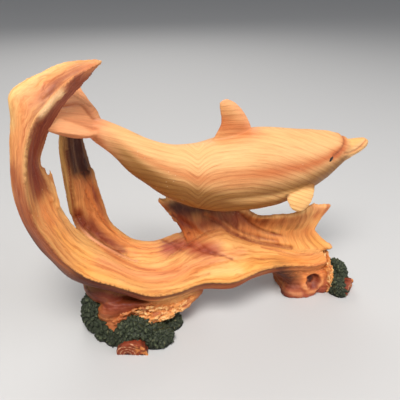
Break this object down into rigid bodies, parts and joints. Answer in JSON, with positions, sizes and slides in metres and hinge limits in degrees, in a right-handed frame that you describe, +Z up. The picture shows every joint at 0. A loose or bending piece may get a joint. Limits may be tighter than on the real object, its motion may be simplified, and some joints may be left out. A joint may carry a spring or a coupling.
{
  "type": "dolphin figurine",
  "caption": "Carved-wood style resin ornament: a leaping dolphin held at its tail and belly by a curling driftwood wave on mossy log feet.",
  "frame": {"origin": "middle of the figurine's box in plan, on the table it stands on", "axes": "+X along the figurine towards the dolphin's beak, +Y away from its front, +Z up"},
  "size_m": [0.2182, 0.074, 0.157],
  "materials": {
    "painted_resin": "satin paint over cast resin, printed and carved as pale wood grain with red-brown hollows and dark green moss"
  },
  "bodies": {
    "root": {"dolphin_figurine": "painted_resin"}
  },
  "joints": []
}
